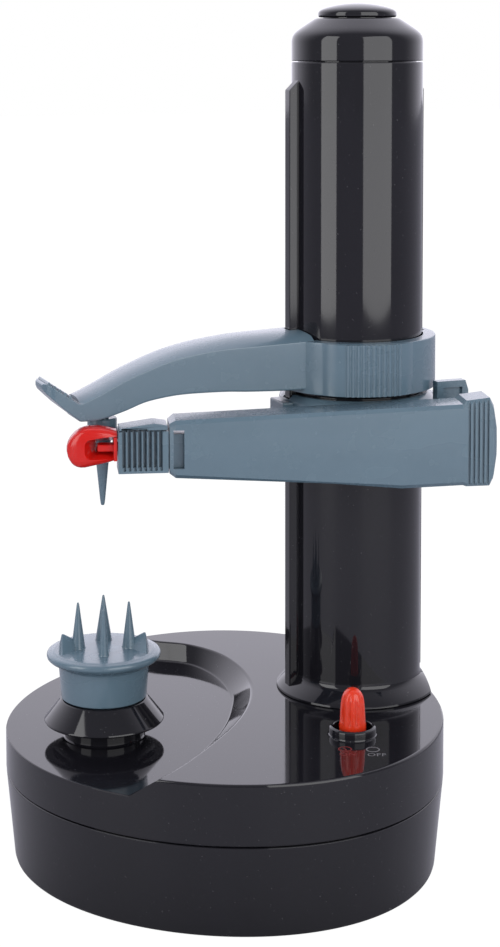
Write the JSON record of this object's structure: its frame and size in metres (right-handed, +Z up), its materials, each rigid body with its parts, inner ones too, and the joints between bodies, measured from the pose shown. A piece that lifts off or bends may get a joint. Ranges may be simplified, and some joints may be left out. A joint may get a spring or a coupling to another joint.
{
  "type": "electric potato peeler",
  "caption": "Rotary electric peeler: a powered spiked food holder, a column with a screw-driven sprung blade arm, and a sliding upper arm with a spike.",
  "frame": {"origin": "centre of the footprint of the whole object as pictured, on the surface that the feet stand on", "axes": "+Z up along the column; +X from the food holder's axis to the column's axis; +Y away from the side with the switch and the peeling arm"},
  "size_m": [0.1524, 0.1558, 0.2825],
  "materials": {
    "black_gloss": "polished gloss",
    "blue_grey": "satin moulded",
    "red_plastic": "glossy moulded",
    "lever_red": "glossy moulded, slightly translucent",
    "steel": "bright ground",
    "dark_steel": "zinc plated",
    "white_plastic": "natural moulded",
    "brass": "turned",
    "rubber": "matt",
    "battery_foil": "gloss sleeve"
  },
  "bodies": {
    "base": {"base_lower_shell": "black_gloss", "base_top_cover": "black_gloss", "battery_door": "black_gloss", "base_screw_1": "dark_steel", "base_screw_2": "dark_steel", "base_screw_3": "dark_steel", "base_screw_4": "dark_steel", "door_screw": "dark_steel", "rubber_foot_1": "rubber", "rubber_foot_2": "rubber", "rubber_foot_3": "rubber", "rubber_foot_4": "rubber", "battery_1": "battery_foil", "battery_2": "battery_foil", "battery_3": "battery_foil", "battery_4": "battery_foil", "contact_strip_front": "steel", "contact_strip_rear": "steel", "gearbox_plate": "white_plastic", "idler_axle_1": "steel", "idler_axle_2": "steel", "reduction_axle": "steel", "motor": "dark_steel", "spindle_bush": "brass", "switch_body": "black_gloss", "switch_pin": "steel", "column_tube": "black_gloss", "column_screw_1": "dark_steel", "column_screw_2": "dark_steel", "column_cap": "black_gloss", "button_spring": "steel"},
    "food_holder_unit": {"drive_spindle": "steel", "spindle_gear": "white_plastic", "food_skirt": "black_gloss", "food_holder": "blue_grey"},
    "idler_1": {"idler_gear_1": "white_plastic"},
    "idler_2": {"idler_gear_2": "white_plastic"},
    "reduction": {"reduction_gear": "white_plastic"},
    "motor_rotor": {"motor_shaft": "steel", "motor_pinion": "brass"},
    "screw": {"lead_screw": "steel", "screw_gear": "white_plastic"},
    "carriage_unit": {"carriage": "blue_grey", "lead_nut": "white_plastic", "arm_pivot_pin": "steel", "arm_torsion_spring": "steel"},
    "arm": {"peeling_arm": "blue_grey"},
    "blade_cartridge": {"blade_block": "blue_grey", "block_cover": "blue_grey", "blade_guard": "red_plastic", "blade": "steel"},
    "upper_arm_unit": {"upper_arm": "blue_grey"},
    "spike": {"upper_spike": "blue_grey"},
    "switch": {"switch_lever": "lever_red"},
    "button": {"top_button": "black_gloss"}
  },
  "joints": [
    {"name": "carriage_slide", "type": "slide", "parent": "base", "child": "carriage_unit", "axis": [0, 0, -1], "range_m": [0, 0.045]},
    {"name": "food_spin", "type": "hinge", "parent": "base", "child": "food_holder_unit", "pos_m": [-0.04518, 0, 0.06], "axis": [0, 0, 1], "range_deg": [0, 2592.01]},
    {"name": "idler_1_spin", "type": "hinge", "parent": "base", "child": "idler_1", "pos_m": [-0.01168, 0, 0.033], "axis": [0, 0, 1], "range_deg": [-3840.01, 0]},
    {"name": "idler_2_spin", "type": "hinge", "parent": "base", "child": "idler_2", "pos_m": [0.01532, 0, 0.033], "axis": [0, 0, 1], "range_deg": [0, 3840.01]},
    {"name": "reduction_spin", "type": "hinge", "parent": "base", "child": "reduction", "pos_m": [0.01532, 0.0185, 0.033], "axis": [0, 0, 1], "range_deg": [-10368.01, 0]},
    {"name": "motor_spin", "type": "hinge", "parent": "base", "child": "motor_rotor", "pos_m": [-0.00065, 0.03054, 0.033], "axis": [0, 0, 1], "range_deg": [0, 31104.01]},
    {"name": "screw_spin", "type": "hinge", "parent": "base", "child": "screw", "pos_m": [0.04482, 0, 0.033], "axis": [0, 0, 1], "range_deg": [-3240.01, 0]},
    {"name": "arm_swing", "type": "hinge", "parent": "carriage_unit", "child": "arm", "pos_m": [0.04482, -0.0345, 0.14], "axis": [0, 0, 1], "range_deg": [0, 22], "stiffness_Nm_per_rad": 0.06, "springref_deg": -22.92},
    {"name": "cartridge_slide", "type": "slide", "parent": "arm", "child": "blade_cartridge", "axis": [-0.9694, 0.2453, 0], "range_m": [0, 0.006]},
    {"name": "upper_arm_slide", "type": "slide", "parent": "base", "child": "upper_arm_unit", "axis": [0, 0, 1], "range_m": [0, 0.08]},
    {"name": "spike_spin", "type": "hinge", "parent": "upper_arm_unit", "child": "spike", "pos_m": [-0.04518, 0, 0.14], "axis": [0, 0, 1], "continuous": true},
    {"name": "switch_tilt", "type": "hinge", "parent": "base", "child": "switch", "pos_m": [0.02402, -0.0448, 0.0453], "axis": [0.4226, 0.9063, 0], "range_deg": [-12, 12]},
    {"name": "button_push", "type": "slide", "parent": "base", "child": "button", "axis": [0, 0, -1], "range_m": [0, 0.003], "stiffness_N_per_m": 300, "springref_m": -0.002, "deforming": ["button_spring"]}
  ],
  "couplings": [
    {"joint": "food_spin", "follows": "carriage_slide", "rad_per_m": 1005.3},
    {"joint": "idler_1_spin", "follows": "carriage_slide", "rad_per_m": -1489.3},
    {"joint": "idler_2_spin", "follows": "carriage_slide", "rad_per_m": 1489.3},
    {"joint": "reduction_spin", "follows": "carriage_slide", "rad_per_m": -4021.2},
    {"joint": "motor_spin", "follows": "carriage_slide", "rad_per_m": 12064},
    {"joint": "screw_spin", "follows": "carriage_slide", "rad_per_m": -1256.6}
  ]
}
